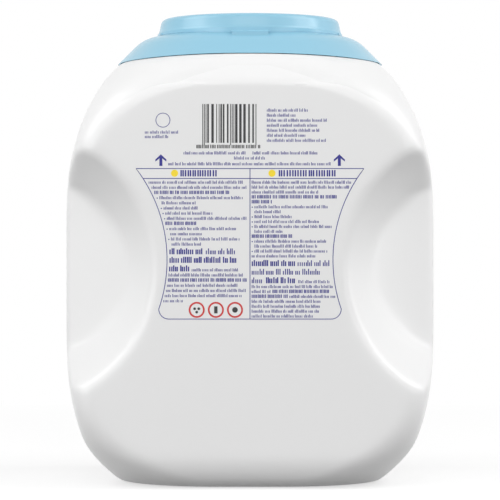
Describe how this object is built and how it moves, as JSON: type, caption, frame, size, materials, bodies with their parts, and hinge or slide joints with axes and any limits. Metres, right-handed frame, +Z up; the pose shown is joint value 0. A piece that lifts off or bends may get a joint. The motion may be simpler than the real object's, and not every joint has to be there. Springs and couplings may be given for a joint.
{
  "type": "laundry pod tub",
  "caption": "Wide plastic tub with a pinch grip on each corner, an oval collar pressed over its neck and a round flip lid hinged at the back.",
  "frame": {"origin": "bottom centre of the tub, on the plane it stands on", "axes": "+Z up, the hinge side faces -Y, the thumb lip faces +Y, the grips are at both ends of X"},
  "size_m": [0.2048, 0.1582, 0.2569],
  "materials": {
    "tub_white": "smooth blow-moulded, satin",
    "closure_blue": "smooth injection-moulded"
  },
  "bodies": {
    "tub": {"tub": "tub_white", "collar": "closure_blue"},
    "lid": {"lid": "closure_blue"}
  },
  "joints": [
    {"name": "lid_hinge", "type": "hinge", "parent": "tub", "child": "lid", "pos_m": [0, -0.0523, 0.2463], "axis": [1, 0, 0], "range_deg": [0, 110]}
  ]
}
